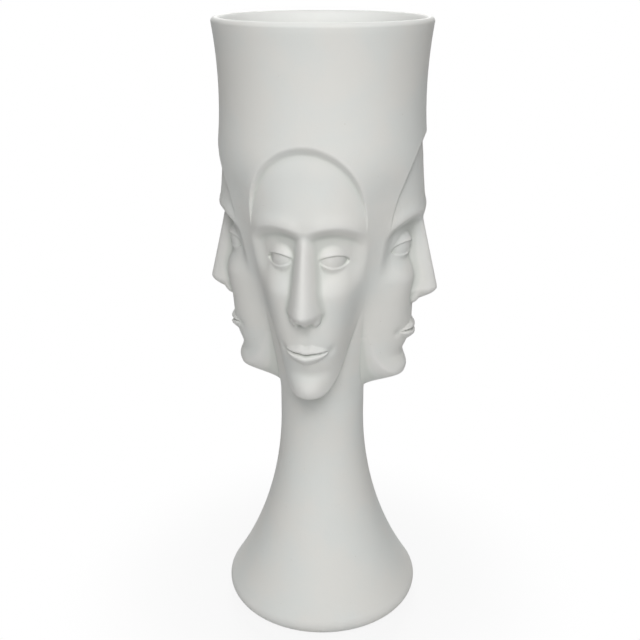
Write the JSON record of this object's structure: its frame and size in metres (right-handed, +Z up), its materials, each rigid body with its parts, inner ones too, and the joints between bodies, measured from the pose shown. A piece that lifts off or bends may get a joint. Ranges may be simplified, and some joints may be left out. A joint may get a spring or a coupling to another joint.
{
  "type": "face vase",
  "caption": "Tall white ceramic flower vase: a flared cup wrapped in calm faces in relief, on a slender neck that spreads into a wide trumpet foot.",
  "frame": {"origin": "middle of the surface that the vase stands on, under its axis", "axes": "+Z up along the vase's axis, -Y the way that face_front looks, +X to the right of someone facing it"},
  "size_m": [0.1496, 0.1496, 0.4],
  "materials": {
    "porcelain": "matte white glaze",
    "slip": "matte white glaze",
    "felt": "off-white pressed felt"
  },
  "bodies": {
    "root": {"rim_cup": "porcelain", "face_front": "porcelain", "face_right": "porcelain", "face_back": "porcelain", "face_left": "porcelain", "slip_seam": "slip", "stem_foot": "porcelain", "foot_pads": "felt"}
  },
  "joints": []
}
